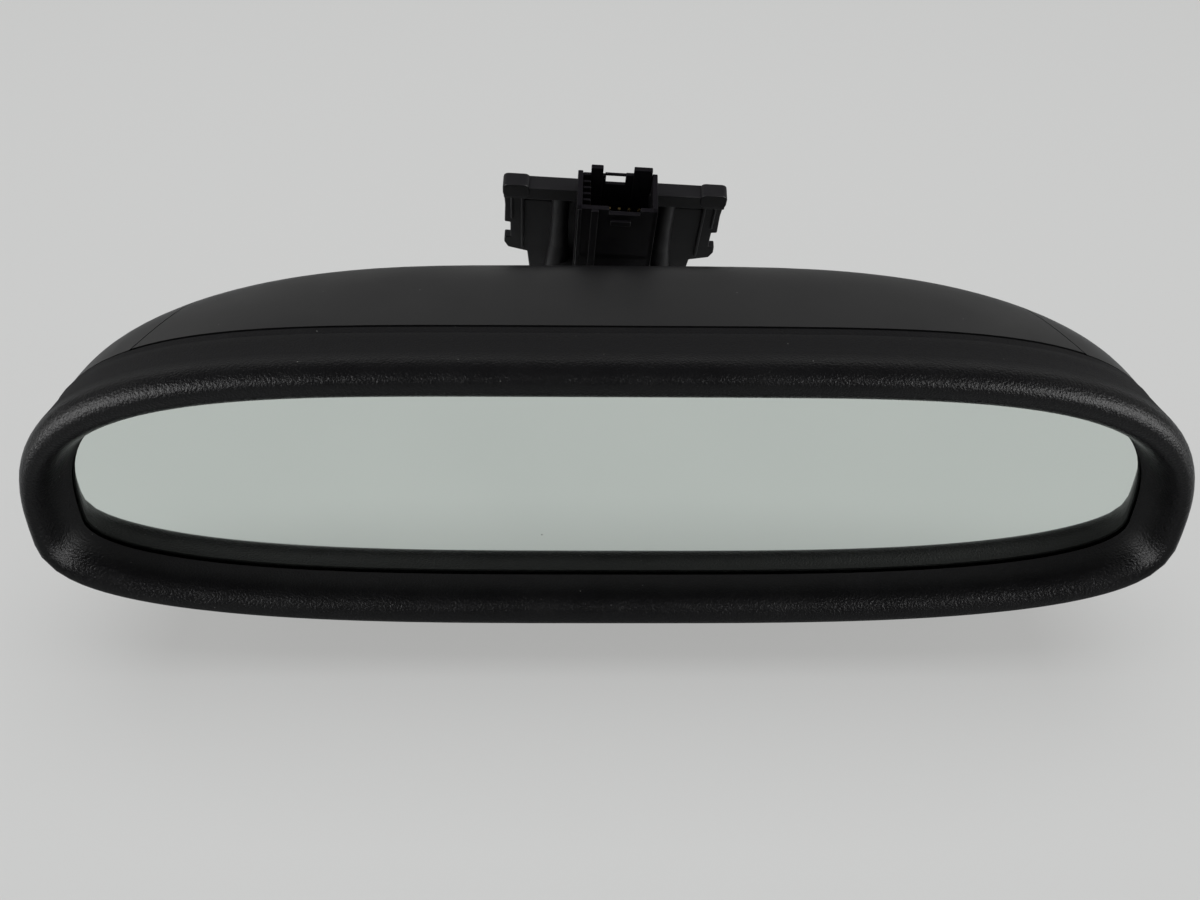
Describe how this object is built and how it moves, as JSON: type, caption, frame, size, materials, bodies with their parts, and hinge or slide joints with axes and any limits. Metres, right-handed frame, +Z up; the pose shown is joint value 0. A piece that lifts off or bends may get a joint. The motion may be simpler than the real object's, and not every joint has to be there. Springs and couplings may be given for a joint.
{
  "type": "interior rearview mirror",
  "caption": "Oval auto-dimming interior rearview mirror with a black rim, a ball-jointed head, a short arm and a windscreen foot with a plug socket.",
  "frame": {"origin": "middle of the foot's pad face, where it meets the windscreen", "axes": "+X to the right as the driver looks into the glass, +Y forwards through the windscreen, +Z up with the glass upright"},
  "size_m": [0.2563, 0.1151, 0.0818],
  "materials": {
    "grained_black": "fine leather grain, low sheen",
    "satin_black": "smooth satin",
    "mirror_glass": "polished, with a reflective inner face",
    "seal_epoxy": "cured epoxy",
    "gel": "clear electrochromic gel",
    "back_glass": "reflector coated",
    "clip_metal": "tinned strip",
    "foam": "closed-cell foam tape",
    "carrier_black": "moulded, unfinished",
    "board_green": "solder mask",
    "chip_black": "moulded package",
    "plug_white": "natural nylon",
    "smoked_lens": "smoked clear plastic",
    "spring_steel": "bright spring strip",
    "zinc_steel": "zinc plated",
    "die_cast": "as cast",
    "seat_plastic": "natural acetal",
    "arm_black": "black powder coat on cast alloy",
    "foot_metal": "phosphated sintered steel",
    "bracket_black": "moulded, fine texture",
    "connector_black": "moulded, smooth",
    "pin_metal": "gold flashed",
    "wire_jacket": "taped wire bundle",
    "grommet_rubber": "soft rubber"
  },
  "bodies": {
    "mount": {"ball_arm": "arm_black", "mount_foot": "foot_metal", "foot_spring": "spring_steel", "foot_screws": "zinc_steel", "bracket_body": "bracket_black", "connector_housing": "connector_black", "connector_pins": "pin_metal", "arm_wires": "wire_jacket", "grommet": "grommet_rubber"},
    "pan_seat": {"ball_seat_rear": "seat_plastic"},
    "tilt_seat": {"ball_seat_front": "seat_plastic"},
    "head": {"front_bezel": "grained_black", "rear_shell": "satin_black", "top_cover": "satin_black", "front_glass": "mirror_glass", "edge_seal": "seal_epoxy", "gel_layer": "gel", "rear_glass": "back_glass", "bus_clip_top": "clip_metal", "bus_clip_bottom": "clip_metal", "adhesive_pad": "foam", "glass_carrier": "carrier_black", "circuit_board": "board_green", "board_screws": "zinc_steel", "controller_chip": "chip_black", "board_parts": "chip_black", "board_header": "plug_white", "harness_plug": "plug_white", "ambient_sensor": "chip_black", "ambient_lens": "smoked_lens", "glare_lens": "smoked_lens", "glare_sensor": "chip_black", "seat_spring": "spring_steel", "pivot_housing": "die_cast", "spring_plate": "zinc_steel", "pivot_screws": "zinc_steel", "head_wires": "wire_jacket"}
  },
  "joints": [
    {"name": "head_turn", "type": "hinge", "parent": "mount", "child": "pan_seat", "pos_m": [-0.00086, -0.07109, -0.0164], "axis": [0, 0, 1], "range_deg": [-20, 20]},
    {"name": "head_tilt", "type": "hinge", "parent": "pan_seat", "child": "tilt_seat", "pos_m": [-0.00086, -0.07109, -0.0164], "axis": [1, 0, 0], "range_deg": [-15, 15]},
    {"name": "head_roll", "type": "hinge", "parent": "tilt_seat", "child": "head", "pos_m": [-0.00086, -0.07109, -0.0164], "axis": [0, 1, 0], "range_deg": [-8, 8]}
  ]
}
